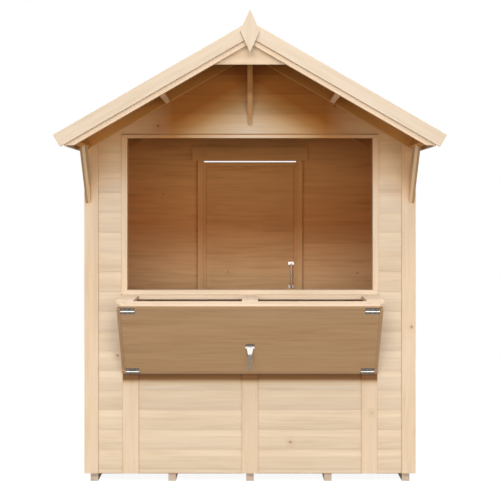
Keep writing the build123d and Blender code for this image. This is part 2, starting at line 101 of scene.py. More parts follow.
# --- the roof's layers, measured square off the rafters' underside -------
ROOF_PITCH = math.radians(30)
RAFTER_DEPTH = 0.070
ROOF_BOARD = 0.012
DECK_TOP = RAFTER_DEPTH + ROOF_BOARD
FELT = 0.0014
FELT_TOP = DECK_TOP + FELT
RIDGE_BOARDS_MEET = 0.06      # how much wider the boards at the ridge are
FELT_TURNOVER = 0.08          # how far a strip would run on over the ridge

# --- how the grain of a timber is turned ---------------------------------
ALONG = (0, 0, 0)
FORE_AND_AFT = (0, 0, -math.pi / 2)
UPRIGHT = (0, math.pi / 2, 0)
DOWN_THE_SLOPE = (0, -ROOF_PITCH, 0)
UP_THE_BRACE = (math.radians(50), 0, -math.pi / 2)

WHITE = (1.0, 1.0, 1.0)


# --- sizes and colours in the panel --------------------------------------
def length(name, description, default, least, most):
    return FloatProperty(
        name=name, description=description, default=default, min=least, max=most, unit="LENGTH")


def colour(name, description, default):
    return FloatVectorProperty(
        name=name, description=description, default=default,
        subtype="COLOR", size=3, min=0, max=1)


class StallSizes(bpy.types.PropertyGroup):
    board_pitch: length("Board pitch", "Height of one weatherboard as laid", 0.109, 0.05, 0.2)
    first_lap: length(
        "First lap", "Height of the lowest lap above the wall's lower edge", 0.0225, 0.0, 0.1)
    cove_height: length(
        "Cove height", "Height of the hollow along a board's top edge", 0.038, 0.0, 0.06)
    lip: length("Lip", "How far each board's lower edge stands over the next", 0.0027, 0.001, 0.01)
    tongue: length("Tongue", "Overlap hidden behind the board above", 0.0076, 0.002, 0.02)
    deck_pitch: length("Deck board width", "Width of the floor and roof boards", 0.098, 0.05, 0.2)
    arris: length("Arris", "Rounding of the planed timbers' edges", 0.0014, 0.0, 0.005)
    nail: length("Nail head", "Diameter of a nail head", 0.004, 0.002, 0.01)
    clout: length("Clout head", "Diameter of a felt clout's head", 0.01, 0.005, 0.015)
    screw: length("Screw head", "Diameter of a screw head", 0.0075, 0.003, 0.012)
    seed: IntProperty(
        name="Board choice", description="Which boards are picked from the stack", default=11)


class StallFinish(bpy.types.PropertyGroup):
    board: colour("Boards", "Planed softwood of the wall boards", (0.825, 0.66, 0.485))
    trim: colour("Trim", "Planed softwood of the trims", (0.81, 0.625, 0.44))
    gable_trim: colour(
        "Gable trim", "Greyer softwood of the bargeboards and finial", (0.68, 0.555, 0.42))
    framing: colour("Floor", "Softwood of the floor boards", (0.88, 0.58, 0.31))
    # painted shade: the warm, dark tone that stands in for the shade close under the porch roof
    porch_shade: colour(
        "Sheltered tone", "Tint of the boards close under the porch roof", (0.66, 0.39, 0.165))
    # painted shade: the browner brace colour stands in for the shade on the braces' undersides
    brace: colour("Braces", "Browner softwood of the knee braces", (0.72, 0.50, 0.30))
    # painted shade: the brown roof framing and roof boards stand in for the shade under the roof
    shaded_roof_framing: colour(
        "Roof framing", "Browner softwood of the rafters and purlins", (0.72, 0.33, 0.085))
    shaded_roof_deck: colour("Roof boards", "Brown dipped softwood of the roof boards", (0.58, 0.25, 0.06))
    bearer: colour("Bearers", "Greyer softwood of the floor bearers", (0.74, 0.59, 0.46))
    # painted shade: a warmer, darker copy of the board colour, standing in for the shade inside the
    # stall
    inside: colour("Inside faces", "Warmer, unbleached faces in the stall", (0.86, 0.545, 0.28))
    inside_shade: colour(
        "Inside tint", "Tint of the inner faces high on the walls", (1.0, 0.68, 0.43))
    counter: colour("Counter", "Paler planed softwood of the counter", (0.85, 0.655, 0.475))
    # painted shade: a darker, warmer copy of the board colour for the panel that faces down under
    # the counter
    panel: colour(
        "Sloping panel", "Warm softwood of the panel under the counter", (0.575, 0.355, 0.19))
    knot: colour("Knots", "Heart of a knot", (0.36, 0.20, 0.09))
    felt: colour("Felt", "Mineral facing of the roofing felt", (0.115, 0.125, 0.115))
    steel: colour("Steel", "Bright zinc plating", (0.34, 0.32, 0.295))
    nails: colour("Nails", "Dulled, slightly rusted nail heads", (0.42, 0.31, 0.21))


def chosen(context):
    """The panel's sizes, and its colours as plain tuples."""
    finish = context.scene.stall_finish
    tones = {key: tuple(getattr(finish, key)) for key in StallFinish.__annotations__}
    return context.scene.stall_sizes, SimpleNamespace(**tones)


def shade(tone, factor):
    return tuple(min(1.0, c * factor) for c in tone)


def times(tone, factors):
    return tuple(c * factor for c, factor in zip(tone, factors))


# --- shader building -----------------------------------------------------
class Tree:
    """The node tree of one material, or of the world, built node by node."""

    def __init__(self, owner):
        owner.use_nodes = True
        self.owner = owner
        owner.node_tree.nodes.clear()
        self.column = 0

    def add(self, kind, inputs=None, **settings):
        node = self.owner.node_tree.nodes.new("ShaderNode" + kind)
        node.location = (self.column, 0)
        self.column += 180
        for key, value in settings.items():
            setattr(node, key, value)
        for key, value in (inputs or {}).items():
            self.feed(node.inputs[key], value)
        return node

    def feed(self, socket, value):
        if isinstance(value, bpy.types.NodeSocket):
            self.owner.node_tree.links.new(value, socket)
        elif socket.type == "RGBA" and len(value) == 3:
            socket.default_value = (*value, 1)
        else:
            socket.default_value = value

    def math(self, operation, first, second=0.0, third=0.0, clamp=False):
        return self.add("Math", {0: first, 1: second, 2: third},
                        operation=operation, use_clamp=clamp).outputs[0]

    def line(self, value, slope, start, clamp=True):
        """Rises or falls evenly with a value, kept between 0 and 1."""
        return self.math("MULTIPLY_ADD", value, slope, start, clamp=clamp)

    def mapping(self, vector, scale=(1, 1, 1), turn=ALONG, shift=(0, 0, 0)):
        return self.add("Mapping", {
            "Vector": vector, "Scale": scale, "Rotation": turn, "Location": shift}).outputs[0]

    def noise(self, vector, scale=1.0, detail=4.0, roughness=0.5):
        return self.add("TexNoise", {
            "Vector": vector, "Scale": scale, "Detail": detail,
            "Roughness": roughness}).outputs["Fac"]

    def cells(self, vector, scale, channel=0, **settings):
        """A pattern of cells, and a number of its own for each cell."""
        cells = self.add("TexVoronoi", {"Vector": vector, "Scale": scale}, **settings)
        number = self.add("SeparateColor", {"Color": cells.outputs["Color"]}).outputs[channel]
        return cells, number

    def ramp(self, value, stops):
        node = self.add("ValToRGB", {"Fac": value})
        band = node.color_ramp
        while len(band.elements) < len(stops):
            band.elements.new(0.5)
        for element, (place, tone) in zip(band.elements, stops):
            element.position = place
            element.color = (tone, tone, tone, 1) if isinstance(tone, (int, float)) else (*tone, 1)
        return node.outputs["Color"]

    def blend(self, share, first, second, kind="MIX"):
        return self.add("Mix", {0: share, 6: first, 7: second},
                        data_type="RGBA", blend_type=kind).outputs[2]

    def tinted(self, board, tint):
        """A board's tint multiplied by another, or the other alone."""
        return tint if board is None else self.blend(1.0, board, tint, "MULTIPLY")

    def place(self):
        return self.add("TexCoord").outputs["Object"]

    def spot(self, vector=None):
        """X, Y and Z of a place on the piece, or of another vector."""
        vector = self.place() if vector is None else vector
        parts = self.add("SeparateXYZ", {"Vector": vector}).outputs
        return parts["X"], parts["Y"], parts["Z"]

    def reach(self):
        """How far a place is from the stall's middle, to either side."""
        return self.math("ABSOLUTE", self.spot()[0])

    def depth(self):
        return self.spot()[1]

    def height(self):
        return self.spot()[2]

    def swayed(self, vector, amount):
        """A vector moved along Y."""
        shift = self.add("CombineXYZ", {"Y": amount}).outputs[0]
        return self.add("VectorMath", {0: vector, 1: shift}, operation="ADD").outputs[0]

    def seen(self):
        """1 for what is seen straight, in gloss or through glass, and 0 for what lights a piece."""
        ray = self.add("LightPath").outputs
        return self.math("MAXIMUM", ray["Is Camera Ray"], self.math(
            "MAXIMUM", ray["Is Glossy Ray"], ray["Is Transmission Ray"]))

    def bump(self, height, strength, distance):
        return self.add("Bump", {
            "Strength": strength, "Distance": distance, "Height": height}).outputs[0]

    def finish(self, shader, output="OutputMaterial"):
        self.add(output, {"Surface": shader})
        return self.owner


def material_tree(name):
    return Tree(bpy.data.materials.new(name))


def stored(make, name, *details, **more):
    """A material that is made once, and then shared."""
    return bpy.data.materials.get(name) or make(name, *details, **more)


# --- softwood ------------------------------------------------------------
KNOT_CELLS = 4.2              # cells in a metre, of which some hold a knot
FLAT_KNOTS, DEEP_KNOTS = 0.80, 0.66      # cells with a lower number have none
DARK_GRAIN = (0.8, 1.05, 1.4)            # the dark grain is warmer than the pale


def timber_surface(tree, grain, tone, knot, board=None, strength=1.0, flat=False):
    """Planed softwood from a vector in metres whose X runs with the grain.

    Board is a tint for the whole, strength deepens the dark grain, and flat gives the
    knots of a board that is sawn along them."""
    wander = tree.noise(tree.mapping(grain, (1.6, 9, 9)), detail=2)
    swayed = tree.swayed(grain, tree.math("MULTIPLY", wander, 0.035))
    knots, number = tree.cells(grain, KNOT_CELLS, voronoi_dimensions="2D" if flat else "3D")
    knots.inputs["Randomness"].default_value = 0.85
    knotty = tree.math("GREATER_THAN", number, FLAT_KNOTS if flat else DEEP_KNOTS)
    near, heart = (
        tree.math("MULTIPLY", tree.ramp(
            knots.outputs["Distance"], [(inner, 1.0), (outer, 0.0)]), knotty)
        for inner, outer in ((0.0, 0.16), (0.013, 0.043)))
    ringed = tree.swayed(swayed, tree.math("MULTIPLY", near, 0.02))
    figure = tree.noise(tree.mapping(ringed, (0.7, 12, 12)), detail=2, roughness=0.45)
    rings = tree.math("SINE", tree.math("MULTIPLY", figure, 46.0))
    fibre = tree.noise(tree.mapping(swayed, (5, 210, 210)), detail=5, roughness=0.62)
    cloud = tree.noise(tree.mapping(grain, (1.3, 5, 5)), detail=3)
    streak = tree.noise(tree.mapping(swayed, (2.6, 38, 38)), detail=3, roughness=0.6)
    depth = tree.math("ADD", tree.math("MULTIPLY", rings, 0.07),
                        tree.math("MULTIPLY_ADD", fibre, 0.5, -0.25))
    depth = tree.math("ADD", depth, tree.math("MULTIPLY_ADD", streak, 0.9, -0.45))
    depth = tree.math("ADD", depth, tree.math("MULTIPLY_ADD", cloud, 0.7, 0.15))
    late, middle = (
        times(tone, [1 - deepening * strength * share for share in DARK_GRAIN])
        for deepening in (0.20, 0.06))
    pale = tuple(min(0.95, c) for c in times(tone, (1.035, 1.05, 1.08)))
    base = tree.ramp(depth, [(0.0, late), (0.36, middle), (0.62, tone), (1.0, pale)])
    base = tree.blend(tree.math("MULTIPLY", near, 0.24), base, shade(knot, 1.6))
    base = tree.blend(tree.math("MULTIPLY", heart, 0.8), base, knot)
    rough = tree.math("MULTIPLY_ADD", fibre, 0.16, 0.66)
    rounded = tree.add("Bevel", {"Radius": 0.0022}, samples=4).outputs[0]
    face = tree.add("NewGeometry").outputs["Normal"]
    facing = tree.add("VectorMath", {0: rounded, 1: face}, operation="DOT_PRODUCT").outputs["Value"]
    rubbing = tree.ramp(tree.noise(grain, 38.0, 2), [(0.35, 0.15), (0.7, 0.6)])
    wear = tree.math("MULTIPLY", tree.ramp(facing, [(0.80, 1.0), (0.985, 0.0)]), rubbing)
    base = tree.blend(wear, base, shade(tone, 1.09))
    rough = tree.math("SUBTRACT", rough, tree.math("MULTIPLY", wear, 0.18))
    if board is not None:
        base = tree.tinted(base, board)
    relief = tree.math("ADD", tree.math("MULTIPLY", rings, 0.18), tree.math(
        "SUBTRACT", fibre, tree.math("MULTIPLY", heart, 0.5)))
    shader = tree.add("BsdfPrincipled", {
        "Base Color": base, "Roughness": rough, "Normal": tree.bump(relief, 0.5, 0.00025),
        "IOR": 1.45, "Specular IOR Level": 0.1})
    return shader.outputs[0]


# --- tints that change over a piece: each takes a board's tint and gives the new one ---
EAVES_LINE = -math.tan(ROOF_PITCH)      # the slope of a line under the roof

PORCH_FADE = (     # metres under the roof's slope, power of the painted porch shade
    (0.02, 1.5), (0.12, 1.65), (0.2, 1.0), (0.27, 0.42), (0.42, 0.0))
# painted shade on the wall tops at the sides, under the eaves
PORCH_SIDES = ((0.0, (1.0, 0.77, 0.5)), (0.13, (1.0, 0.86, 0.68)), (0.34, 1.0))
HEAD_SEAM = 0.0032      # half the height of the painted shadow line along the joint over the serving opening
HEAD_SEAM_SHADOW = (0.5, 0.33, 0.18)
FOOT_SHADOW_ABOVE = 0.04        # how far over the foot rail's underside the painted shadow on the wall starts
FOOT_SHADOW = (       # metres under the foot rail, tone of the wall in the painted shadow
    (0.0, (0.4, 0.26, 0.15)), (0.034, (0.28, 0.16, 0.08)), (0.043, (0.6, 0.48, 0.37)),
    (0.056, (0.92, 0.86, 0.78)), (0.075, 1.0))


def porch_shade_tint(porch_shade):
    """Painted shade on the front: a warm darkening close under the porch roof, a painted
    shadow line over the serving opening, and a painted shadow on the wall under the foot rail.
    """
    def tint(tree, board):
        x, y, z = tree.spot()
        reach = tree.math("ABSOLUTE", x)
        below = tree.math("SUBTRACT", tree.line(reach, EAVES_LINE, APEX, clamp=False), z)
        middle = tree.ramp(below, [
            (drop, tuple(c ** power for c in porch_shade)) for drop, power in PORCH_FADE])
        wall = tree.blend(tree.line(reach, 3.2, -1.35), middle, tree.ramp(below, PORCH_SIDES))
        # painted shadow line along the joint over the serving opening
        seam = tree.math("MULTIPLY", tree.math(
            "COMPARE", z, HEAD[HIGH].z + HEAD_SEAM, HEAD_SEAM), tree.math(
            "LESS_THAN", reach, HEAD[HIGH].x))
        wall = tree.blend(seam, wall, HEAD_SEAM_SHADOW)
        # painted shadow on the wall under the foot rail
        drop = tree.math("SUBTRACT", FOOT_RAIL[LOW].z, z)
        behind = tree.math("MULTIPLY", tree.math("LESS_THAN", reach, FOOT_RAIL[HIGH].x),
                             tree.math("GREATER_THAN", drop, -FOOT_SHADOW_ABOVE))
        wall = tree.blend(behind, wall, tree.ramp(drop, FOOT_SHADOW))
        front = tree.math("LESS_THAN", y, 0.0)
        return tree.tinted(board, tree.blend(front, WHITE, wall))
    return tint


def inner_shade_tint(deep):
    """Painted shade on the inner faces, deeper above the daylight that comes in over the
    counter, and a little darker in the middle.
    """
    def tint(tree, board):
        x, _, z = tree.spot()
        upper = tree.ramp(tree.line(z, 1.1, -1.1), [
            (0.04, 0.96), (0.45, shade(deep, 0.93)), (1.0, shade(deep, 1.15))])
        # painted shade: a little darker in the middle of the walls
        middle = tree.ramp(tree.math("ABSOLUTE", x), [(0.24, 0.88), (0.42, 1.0)])
        return tree.tinted(board, tree.tinted(upper, middle))
    return tint


def eaves_shade_tint(lit_underside=False):
    """Painted shade on the roof's timber, deeper towards the ridge, and a painted highlight
    on the rafters' undersides.
    """
    def tint(tree, board):
        x, _, z = tree.spot()
        reach = tree.math("ABSOLUTE", x)
        tone = tree.ramp(reach, [
            (0.3, (0.64, 0.56, 0.46)), (0.56, (0.72, 0.66, 0.58)), (0.78, (1.0, 1.05, 1.15))])
        if lit_underside:
            # painted highlight on the rafters' undersides
            underside = tree.line(reach, EAVES_LINE, APEX + 0.003, clamp=False)
            tone = tree.blend(tree.math("GREATER_THAN", underside, z), tone, (0.95, 1.15, 1.55))
        return tree.tinted(board, tone)
    return tint


def fade_tint(way, start, run, before, after):
    """One tone up to a place along a way over the piece, fading over a run into another."""
    return lambda tree, board: tree.tinted(board, tree.blend(
        tree.line(way(tree), 1 / run, -start / run), before, after))


def end_tint(tone, end_tone, front, rear=None):
    """The tone of a timber's faces before a line, and behind a second one: painted light on
    the ends of roof timber out of the shade, and a little painted shade on the counter frame's
    front.
    """
    def tint(tree, board):
        depth = tree.depth()
        ends = tree.math("LESS_THAN", depth, front)
        if rear is not None:
            ends = tree.math("MAXIMUM", ends, tree.math("GREATER_THAN", depth, rear))
        return tree.blend(ends, board, tuple(e / c for e, c in zip(end_tone, tone)))
    return tint


OTHER_TIMBER, OTHER_STILE = 3.7, 4.3     # metres to the grain of a pair's other timber


def wood(name, tone, knot, turn, tints, mirrored=False, rails=None):
    """Softwood on a solid timber, with its grain turned to run along it.

    Mirrored is for a pair whose grain follows both slopes. Rails, for a frame, holds the
    place where its outer uprights start, half the width of its middle one, how their grain
    is turned, and their tint if they have one, a painted highlight on the uprights."""
    tree = material_tree(name)
    place = tree.place()
    board = None
    if mirrored:
        x, y, z = tree.spot(place)
        place = tree.add("CombineXYZ", {
            "X": tree.math("ABSOLUTE", x),
            "Y": tree.line(tree.math("SIGN", x), OTHER_TIMBER, y, clamp=False),
            "Z": z}).outputs[0]
    grain = tree.mapping(place, turn=turn)
    if rails:
        edge, centre, upright_turn, *upright_highlight = rails
        reach = tree.reach()
        upright = tree.math("MAXIMUM", tree.math("GREATER_THAN", reach, edge),
                              tree.math("LESS_THAN", reach, centre))
        other = tree.mapping(place, turn=upright_turn, shift=(0, OTHER_STILE, 0))
        grain = tree.add("Mix", {0: upright, 4: grain, 5: other}, data_type="VECTOR").outputs[1]
        if upright_highlight:
            board = tree.blend(upright, WHITE, upright_highlight[0])
    for tint in tints:
        board = tint(tree, board)
    return tree.finish(timber_surface(tree, grain, tone, knot, board))


def board_wood(name, tone, knot, pitch, fall=0.09, spread=0.05, tints=(), **look):
    """Softwood boards, each with its own stretch of grain and its own tone.

    Fall is how much darker a board is at its lower edge, a painted shade, and spread how much
    the boards differ."""
    tree = material_tree(name)
    grain = tree.add("UVMap", uv_map="grain").outputs[0]
    across = tree.math("DIVIDE", tree.spot(grain)[1], pitch)
    number = tree.math("FLOOR", across)
    height = tree.math("FRACT", across)
    pick = tree.add("TexWhiteNoise", {"W": number}, noise_dimensions="1D").outputs["Value"]
    # painted shade: each board darker towards its lower edge
    lower = tree.ramp(height, [(0.02, 1 - fall), (0.35, 1 - fall * 0.6), (0.85, 1.0)])
    own = tree.ramp(pick, [
        (0.0, tuple(1 - spread * share for share in (1.0, 1.3, 1.7))),
        (0.45, 0.99), (0.75, 1.0), (1.0, (1.0, 0.985, 0.96))])
    board = tree.tinted(lower, own)
    for tint in tints:
        board = tint(tree, board)
    return tree.finish(timber_surface(tree, grain, tone, knot, board, flat=True, **look))


# --- felt and metal ------------------------------------------------------
def felt_finish(name, tone):
    """Mineral chips pressed into bitumen felt, with paler patches."""
    tree = material_tree(name)
    place = tree.place()
    grit, number = tree.cells(place, 420.0)
    patch = tree.noise(place, 2.4, 4)
    base = tree.ramp(number, [
        (0.0, shade(tone, 0.55)), (0.5, tone), (0.9, shade(tone, 1.5)), (1.0, shade(tone, 2.4))])
    base = tree.blend(tree.ramp(patch, [(0.35, 0.0), (0.75, 0.35)]), base, shade(tone, 1.35))
    return tree.finish(tree.add("BsdfPrincipled", {
        "Base Color": base, "Roughness": tree.math("MULTIPLY_ADD", patch, 0.15, 0.8),
        "Normal": tree.bump(grit.outputs["Distance"], 0.8, 0.0006)}).outputs[0])


# brighter tone of a painted highlight on the hinges' barrels and the hasp's plate
HIGHLIT_STEEL = (0.55, 0.53, 0.5)


def steel_finish(name, tone, rubbed=None):
    """Zinc plate; the last argument gives the share of its brighter tone, a painted
    highlight, at each place.
    """
    tree = material_tree(name)
    place = tree.place()
    _, flake = tree.cells(place, 160.0, channel=1)
    haze = tree.noise(place, 45.0, 5, 0.6)
    scratch = tree.noise(tree.mapping(place, (900, 60, 60)), 1.0, 3)
    base = tree.blend(tree.math("MULTIPLY", flake, 0.22), tone, shade(tone, 0.86))
    base = tree.blend(tree.ramp(haze, [(0.5, 0.0), (0.8, 0.4)]), base, shade(tone, 0.72))
    if rubbed:
        base = tree.blend(rubbed(tree), base, HIGHLIT_STEEL)
    rough = tree.math("ADD", tree.math("MULTIPLY_ADD", haze, 0.2, 0.16),
                        tree.math("MULTIPLY", scratch, 0.1))
    return tree.finish(tree.add("BsdfPrincipled", {
        "Base Color": base, "Metallic": 1.0, "Roughness": rough,
        "Normal": tree.bump(scratch, 0.25, 0.0001)}).outputs[0])


def wall_finishes(sizes, finish, name="wall boards", **look):
    """Outer and inner finish of the wall boards; the inner one is a warmer, darker copy
    with painted shade.
    """
    pitch = sizes.board_pitch
    outer = stored(board_wood, name, finish.board, finish.knot, pitch, **look)
    inner = stored(board_wood, "boards, inner face", finish.inside, shade(finish.inside, 0.6),
                   pitch, fall=0.02, tints=[inner_shade_tint(finish.inside_shade)], strength=2.2)
    return outer, inner


# --- meshes --------------------------------------------------------------
def points(pushed):
    return [v for v in pushed["geom"] if isinstance(v, bmesh.types.BMVert)]


def sheet_of(mesh, name="part"):
    """A mesh's data, with the mesh itself freed."""
    sheet = bpy.data.meshes.new(name)
    mesh.to_mesh(sheet)
    mesh.free()
    return sheet


def join(target, part):
    """Adds a mesh to another, and frees it."""
    sheet = sheet_of(part)
    target.from_mesh(sheet)
    bpy.data.meshes.remove(sheet)


def linked(name, data):
    """A new object in the scene."""
    piece = bpy.data.objects.new(name, data)
    bpy.context.scene.collection.objects.link(piece)
    return piece


def slope(side):
    """The ways down one side of the roof and square off it."""
    run, drop = math.cos(ROOF_PITCH), math.sin(ROOF_PITCH)
    return Vector((side * run, 0, -drop)), Vector((side * drop, 0, run))


def slope_length(reach, lift):
    """How far down the slope a layer runs whose edge is at a distance from the middle."""
    return (reach - lift * math.sin(ROOF_PITCH)) / math.cos(ROOF_PITCH)


def ridge_cut(side, gap):
    """The plane that trims the boards of one side at the ridge."""
    return [(EAST * side * gap, EAST * -side)]


def lay_board(target, outline, origin, run, rise, out, span, pitch, number, start,
              cuts=(), inside=False):
    """One board: its outline pushed along its length, trimmed, then given its own grain.

    The outline holds pairs of depth and height, and number and start pick the stretch of
    grain. Inside gives the board's rear faces the wall's inner finish."""
    board = bmesh.new()
    end = board.faces.new([board.verts.new(origin + out * d + rise * h) for d, h in outline])
    pushed = bmesh.ops.extrude_face_region(board, geom=[end])
    bmesh.ops.translate(board, verts=points(pushed), vec=run * span)
    for point, normal in cuts:
        bmesh.ops.bisect_plane(
            board, geom=board.verts[:] + board.edges[:] + board.faces[:], dist=1e-6,
            plane_co=point, plane_no=normal, clear_outer=True)
        rim = [e for e in board.edges if e.is_boundary]
        if rim:
            bmesh.ops.holes_fill(board, edges=rim, sides=0)
    if not board.faces:
        board.free()
        return
    bmesh.ops.recalc_face_normals(board, faces=board.faces)
    grain, margin = board.loops.layers.uv.new("grain"), 0.02
    for face in board.faces:
        if inside and face.normal.dot(out) < -0.5:
            face.material_index = 1
        for loop in face.loops:
            place = loop.vert.co - origin
            height = min(max(place.dot(rise) / pitch, margin), 1 - margin)
            loop[grain].uv = (start + place.dot(run), (number + height) * pitch)
    join(target, board)


def pick_grain(chance):
    """The number of a board in the stack, and where along it the piece is cut."""
    return chance.randrange(900), chance.uniform(0, 60)


def lay_boards(chance, outline, origin, run, rise, out, span, pitch, rows):
    """Boards laid side by side."""
    deck = bmesh.new()
    for row in range(rows):
        lay_board(deck, outline, origin + rise * pitch * row, run, rise, out, span, pitch,
                  *pick_grain(chance))
    return deck


def weatherboard(sizes):
    """Outline of a coved, rebated board, from the wall's inner face and its lower edge."""
    pitch, lip, tongue = sizes.board_pitch, sizes.lip, sizes.tongue
    back = CLADDING - lip
    ease, play, steps = 0.0008, 0.0004, 4
    radius = (sizes.cove_height ** 2 + lip ** 2) / (2 * lip)
    sweep = math.asin(sizes.cove_height / radius)
    outline = [(back, 0.0), (CLADDING - 0.0006, 0.0), (CLADDING, ease)]
    for step in range(steps):
        angle = sweep * (1 - step / steps)
        outline.append((back + radius * (1 - math.cos(angle)), pitch - radius * math.sin(angle)))
    return outline + [
        (back, pitch), (back, pitch + tongue), (0.0, pitch + tongue),
        (0.0, tongue + play), (back, tongue + play)]


def flat_board(pitch, thickness, groove=0.0012):
    """Outline of a square board with eased joints, laid tight to its neighbours."""
    return [
        (groove, 0.0), (thickness - groove, 0.0), (thickness, groove),
        (thickness, pitch - groove), (thickness - groove, pitch),
        (groove, pitch), (0.0, pitch - groove), (0.0, groove)]


def new_piece(name, mesh, materials, body, nodes=()):
    """A finished piece, riding on its body and standing for its plain solids."""
    sheet = sheet_of(mesh, name)
    piece = linked(name, sheet)
    for material in materials if isinstance(materials, (list, tuple)) else (materials,):
        sheet.materials.append(material)
    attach(piece, body)
    if nodes:
        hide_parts(*nodes)


def roof_cuts():
    """The two planes of the rafters' underside, for trimming a wall to the slope."""
    return [(UP * APEX, slope(side)[1]) for side in SIDES]


def clad_wall(sizes, chance, face, run, out, span, bottom, top, cuts=(), hole=None):
    """Weatherboards up a wall, split round its opening.

    Span holds the wall's two ends along its run, and hole the two ends, the foot and the
    head of its opening."""
    wall = bmesh.new()
    outline = weatherboard(sizes)
    pitch, sliver = sizes.board_pitch, 0.001
    rows = math.ceil((top - WALL_BOTTOM) / pitch) + 1
    for row in range(rows):
        low = WALL_BOTTOM + sizes.first_lap + pitch * (row - 1)
        high = low + pitch
        if high <= bottom + sliver or low >= top - sliver:
            continue
        number, start = pick_grain(chance)
        stretches = [(*span, [])]
        if hole:
            near, far, foot, head = hole
            if low < head and high + sizes.tongue > foot:
                stretches = [(span[0], near, []), (far, span[1], [])]
                if low < foot:
                    stretches.append((near, far, [(UP * foot, UP)]))
                if high > head:
                    stretches.append((near, far, [(UP * head, -UP)]))
        trims = list(cuts)
        if low < bottom:
            trims.append((UP * bottom, -UP))
        if high + sizes.tongue > top:
            trims.append((UP * top, UP))
        for left, right, extra in stretches:
            lay_board(wall, outline, face + run * left + UP * low, run, UP, out, right - left,
                      pitch, number, start + left, trims + extra, inside=True)
    return wall


def facing(place, normal, lift):
    """Puts a head on a face, lifted off it."""
    turn = normal.to_track_quat("Z", "Y").to_matrix().to_4x4()
    return Matrix.Translation(place + normal * lift) @ turn


def nail_heads(spots, diameter):
    """Flat, slightly tapered heads that stand a little proud, at pairs of place and normal."""
    heads, depth, proud = bmesh.new(), 0.0012, 0.0004
    for place, normal in spots:
        bmesh.ops.create_cone(
            heads, cap_ends=True, segments=10, radius1=diameter / 2, radius2=diameter * 0.36,
            depth=depth, matrix=facing(place, normal, proud - depth / 2))
    return heads


def screw_heads(spots):
    """Countersunk heads with a cross recess, each from a disc that is cut and pressed in.

    The spots hold place, normal, diameter and how far the head is turned."""
    heads, proud, skirt = bmesh.new(), 0.0006, 0.0012
    for place, normal, diameter, turn in spots:
        crown = diameter * 0.07
        head = bmesh.new()
        bmesh.ops.create_circle(head, cap_ends=True, segments=12, radius=diameter / 2)
        ring = bmesh.ops.inset_region(
            head, faces=head.faces[:], thickness=diameter * 0.17, depth=crown)["faces"]
        spokes = bmesh.ops.poke(head, faces=[f for f in head.faces if f not in ring])
        for face in spokes["faces"][::3]:
            pressed = bmesh.ops.extrude_face_region(head, geom=[face])
            bmesh.ops.translate(head, verts=points(pressed), vec=(0, 0, -diameter * 0.09))
            bmesh.ops.delete(head, geom=[face], context="FACES_ONLY")
        pushed = bmesh.ops.extrude_edge_only(head, edges=[e for e in head.edges if e.is_boundary])
        bmesh.ops.translate(head, verts=points(pushed), vec=(0, 0, -skirt))
        bmesh.ops.transform(head, verts=head.verts, matrix=facing(
            place, normal, proud - crown) @ Matrix.Rotation(turn, 4, "Z"))
        join(heads, head)
    return heads


def dress(node, material, arris=0.0):
    """Gives a solid timber its finish and eases its edges."""
    solid = frame["nodes"][node]
    solid.data.materials.clear()
    solid.data.materials.append(material)
    if arris:
        weld = solid.modifiers.new("joined", "WELD")
        weld.merge_threshold = 0.00002
        ease = solid.modifiers.new("arris", "BEVEL")
        ease.width = arris
        ease.segments = 2
        ease.limit_method = "ANGLE"
        ease.angle_limit = math.radians(25)
        ease.use_clamp_overlap = True


def panel_plane():
    """The sloping panel's outer lower edge, the ways up it and into it, and its boards' length."""
    low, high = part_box("support_boards")
    depth, height = high.y - low.y, high.z - low.z
    lean = math.atan2(depth, height)
    for _ in range(20):
        run = depth - CLADDING * math.cos(lean)
        lean = math.atan2(run, height - CLADDING * math.sin(lean))
    foot = Vector((0, high.y - CLADDING * math.cos(lean), low.z))
    up = Vector((0, -math.sin(lean), math.cos(lean)))
    return foot, up, Vector((0, math.cos(lean), math.sin(lean))), run / math.sin(lean)


# --- operators -----------------------------------------------------------
class STALL_OT_walls(bpy.types.Operator):
    """Weatherboards on the front, side and back walls"""
    bl_idname = "stall.walls"
    bl_label = "Wall boards"

    def execute(self, context):
        sizes, finish = chosen(context)
        chance = random.Random(sizes.seed)
        boards = wall_finishes(sizes, finish)
        low, high = FRONT_WALL
        hole = (-SILL[HIGH].x, SILL[HIGH].x, SILL[LOW].z, HEAD[HIGH].z)
        front = clad_wall(sizes, chance, NORTH * high.y, EAST, -NORTH, (low.x, high.x),
                          low.z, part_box("ridge_board")[LOW].z, roof_cuts(), hole)
        # the front's outer faces carry the painted porch shade and shadows
        porch = wall_finishes(sizes, finish, "porch wall boards",
                              tints=[porch_shade_tint(finish.porch_shade)], strength=1.25)
        new_piece("front_cladding", front, porch, "stall",
                  nodes=("front_wall_sides", "front_wall_lower", "front_gable"))
        low, high = BACK_WALL
        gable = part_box("back_gable")
        hole = (gable[LOW].x, gable[HIGH].x, low.z - sizes.board_pitch, gable[LOW].z)
        back = clad_wall(sizes, chance, NORTH * low.y, EAST, NORTH, (low.x, high.x),
                         low.z, APEX, roof_cuts(), hole)
        new_piece("back_cladding", back, boards, "stall",
                  nodes=("back_wall_sides", "back_gable"))
        low, high = SIDE_WALL
        walls = bmesh.new()
        for side in SIDES:
            face = EAST * side * (high.x - CLADDING)
            join(walls, clad_wall(sizes, chance, face, NORTH, EAST * side, (low.y, high.y),
                                  low.z, high.z, roof_cuts()))
        new_piece("side_cladding", walls, boards, "stall", nodes=("side_walls",))
        return {"FINISHED"}


TRAY_SHADOW = (0.10, 0.045, 0.015)     # painted shadow on the tray's boards in the corner by the wall
TRAY_FADE = (-0.87, 1 / 9)             # where the painted shadow starts, and over what run


